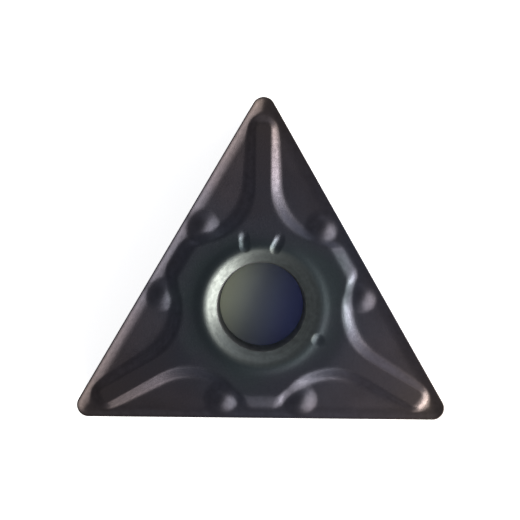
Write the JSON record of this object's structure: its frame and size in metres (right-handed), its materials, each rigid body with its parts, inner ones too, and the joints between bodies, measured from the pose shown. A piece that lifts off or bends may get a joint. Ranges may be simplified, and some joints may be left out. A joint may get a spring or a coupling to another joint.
{
  "type": "carbide insert",
  "caption": "Triangular indexable turning insert with a countersunk clamping hole, a star-shaped seat and scalloped chip-breaker pockets beside each corner, dark coating.",
  "frame": {"origin": "on the axis of the clamping hole, at the mid-plane of the thickness", "axes": "+Z along the clamping hole, out of the upper seat; +Y towards one corner; +X along the edge opposite that corner"},
  "size_m": [0.0158, 0.0138, 0.0048],
  "materials": {
    "coated_carbide": "sintered tungsten carbide with a dark vapour-deposited ceramic coating, satin"
  },
  "bodies": {
    "root": {"insert_body": "coated_carbide"}
  },
  "joints": []
}
